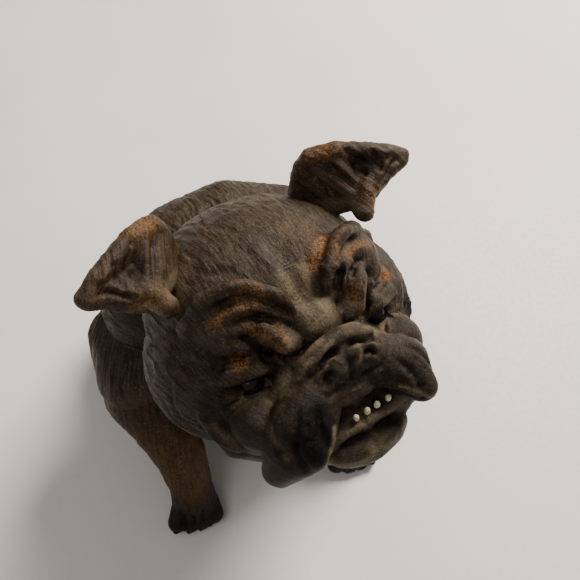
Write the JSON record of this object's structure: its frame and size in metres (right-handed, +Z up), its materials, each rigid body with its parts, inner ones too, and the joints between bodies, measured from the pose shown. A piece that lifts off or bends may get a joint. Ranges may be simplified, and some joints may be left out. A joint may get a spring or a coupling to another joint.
{
  "type": "figural animal coin bank",
  "caption": "Seated bulldog coin bank: hollow cast body, head hinged behind the neck to open the coin chamber, key lock in the chest, coin slot in the back.",
  "frame": {"origin": "on the table under the base plate, at the centre of the figure's outline seen from above", "axes": "+Z up; the dog faces -Y and its left side is +X"},
  "size_m": [0.094, 0.1202, 0.1105],
  "materials": {
    "painted_spelter": "aged dark brown cold paint over cast spelter, ochre where it is rubbed, dust in the creases",
    "brass": "tarnished",
    "steel": "darkened",
    "tinned_sheet": "dull tinned sheet",
    "dark_glass": "glossy black-brown"
  },
  "bodies": {
    "body": {"body_shell": "painted_spelter", "base_plate": "tinned_sheet", "front_leg_right": "painted_spelter", "front_leg_left": "painted_spelter", "tail": "painted_spelter", "hinge_leaf_body": "brass", "hinge_rivet_body_right": "brass", "hinge_rivet_body_left": "brass", "hinge_pin": "steel", "lock_case": "tinned_sheet", "lock_cover": "tinned_sheet", "key_pin": "steel", "lever_pivot": "steel", "lever_spring": "steel", "lock_rivet_right": "brass", "lock_rivet_left": "brass", "keyhole_escutcheon": "brass", "escutcheon_pin_upper": "brass", "escutcheon_pin_lower": "brass"},
    "head": {"head_shell": "painted_spelter", "ear_right": "painted_spelter", "ear_left": "painted_spelter", "eye_right": "dark_glass", "eye_left": "dark_glass", "hinge_leaf_head": "brass", "hinge_rivet_head_right": "brass", "hinge_rivet_head_left": "brass", "lock_staple": "steel", "staple_rivet": "steel"},
    "bolt": {"lock_bolt": "steel"},
    "lever": {"lock_lever": "steel"}
  },
  "joints": [
    {"name": "head_hinge", "type": "hinge", "parent": "body", "child": "head", "pos_m": [0, 0.04165, 0.06521], "axis": [-1, 0, 0], "range_deg": [0, 95]},
    {"name": "bolt_slide", "type": "slide", "parent": "body", "child": "bolt", "axis": [1, 0, 0], "range_m": [0, 0.0054]},
    {"name": "lever_hinge", "type": "hinge", "parent": "body", "child": "lever", "pos_m": [-0.0056, -0.01661, 0.03417], "axis": [0, -0.9647, -0.2634], "range_deg": [0, 8], "stiffness_Nm_per_rad": 0.02, "springref_deg": -5.73}
  ]
}
